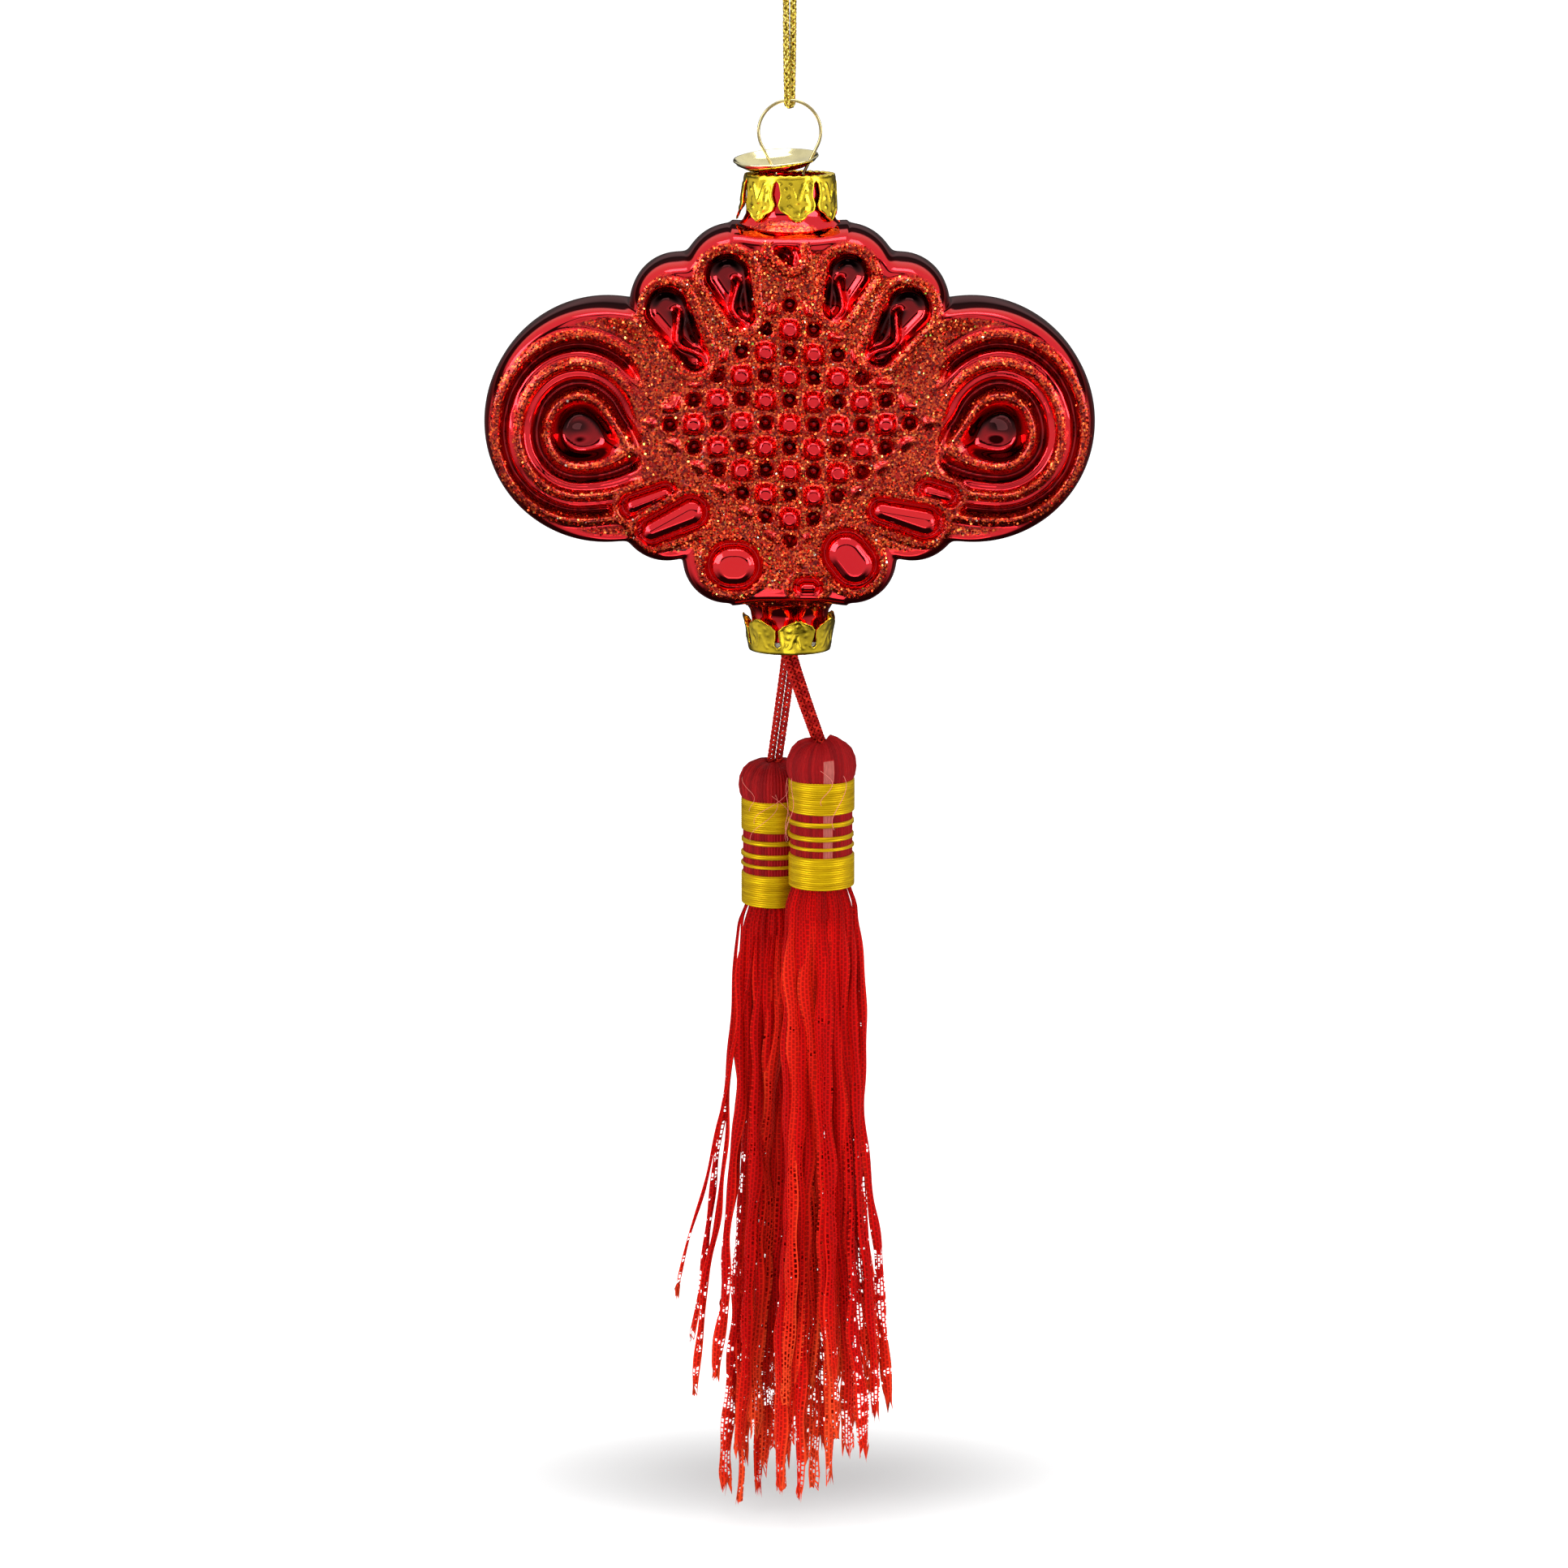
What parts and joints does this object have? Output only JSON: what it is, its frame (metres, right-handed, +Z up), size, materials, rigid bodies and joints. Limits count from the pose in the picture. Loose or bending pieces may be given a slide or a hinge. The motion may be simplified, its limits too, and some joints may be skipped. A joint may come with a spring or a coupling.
{
  "type": "hanging knot ornament",
  "caption": "Red mirror-glass knot ornament on a gold cord and wire ring, with two hinged tassels wrapped in gold thread below it.",
  "frame": {"origin": "the underside of the gold cord at the top of its loop, where it bears on a hook", "axes": "+Z up along the hanging line, -Y towards the viewer of the glass's relief, +X to the viewer's right"},
  "size_m": [0.0978, 0.028, 0.2839],
  "materials": {
    "red_glass": "silvered inside and lacquered red, mirror bright, with glitter on the ridges",
    "gold_sheet": "bright pressed gold foil sheet",
    "pale_gold_dish": "bright pale gold",
    "gold_wire": "bright drawn wire",
    "tinsel": "braided metallic gold cord",
    "glue": "cloudy glue",
    "pin_steel": "plain drawn wire",
    "red_cord": "knitted rayon cord",
    "red_yarn": "silky red yarn",
    "gold_thread": "wound metallic thread",
    "clear_tube": "clear tube, tinted by the yarn"
  },
  "bodies": {
    "hanging_cord": {"gold_cord": "tinsel", "gold_cord_knot": "tinsel"},
    "ring": {"ring_wire": "gold_wire"},
    "cap": {"cap_dish": "pale_gold_dish", "upper_crown": "gold_sheet"},
    "glass": {"glass_body": "red_glass", "lower_crown": "gold_sheet", "lower_glue_ring": "glue", "toggle_pin": "pin_steel"},
    "tassel_cords": {"tassel_cord_1": "red_cord", "tassel_cord_2": "red_cord", "left_cord_knot": "red_cord", "right_cord_knot": "red_cord"},
    "left_tassel": {"left_core_tube": "clear_tube", "left_head_yarn": "red_yarn", "left_upper_wrap": "gold_thread", "left_stripe_wraps": "gold_thread", "left_lower_wrap": "gold_thread", "left_skirt": "red_yarn"},
    "right_tassel": {"right_core_tube": "clear_tube", "right_head_yarn": "red_yarn", "right_upper_wrap": "gold_thread", "right_stripe_wraps": "gold_thread", "right_lower_wrap": "gold_thread", "right_skirt": "red_yarn"}
  },
  "joints": [
    {"name": "ring_turn", "type": "hinge", "parent": "hanging_cord", "child": "ring", "pos_m": [0, 0, -0.05295], "axis": [0, 1, 0], "range_deg": [-30, 30]},
    {"name": "cap_rock", "type": "hinge", "parent": "ring", "child": "cap", "pos_m": [0, 0, -0.0596], "axis": [1, 0, 0], "range_deg": [-8, 8]},
    {"name": "hanger_pull", "type": "slide", "parent": "cap", "child": "glass", "axis": [0, 0, -1], "range_m": [0, 0.014]},
    {"name": "cord_swing", "type": "hinge", "parent": "glass", "child": "tassel_cords", "pos_m": [0, 0, -0.1356], "axis": [1, 0, 0], "range_deg": [-25, 25]},
    {"name": "left_tassel_tilt", "type": "hinge", "parent": "tassel_cords", "child": "left_tassel", "pos_m": [-0.0026, 0.0043, -0.1593], "axis": [0, 1, 0], "range_deg": [0, 20]},
    {"name": "right_tassel_tilt", "type": "hinge", "parent": "tassel_cords", "child": "right_tassel", "pos_m": [0.0052, -0.0043, -0.1543], "axis": [0, 1, 0], "range_deg": [-20, 0]}
  ]
}
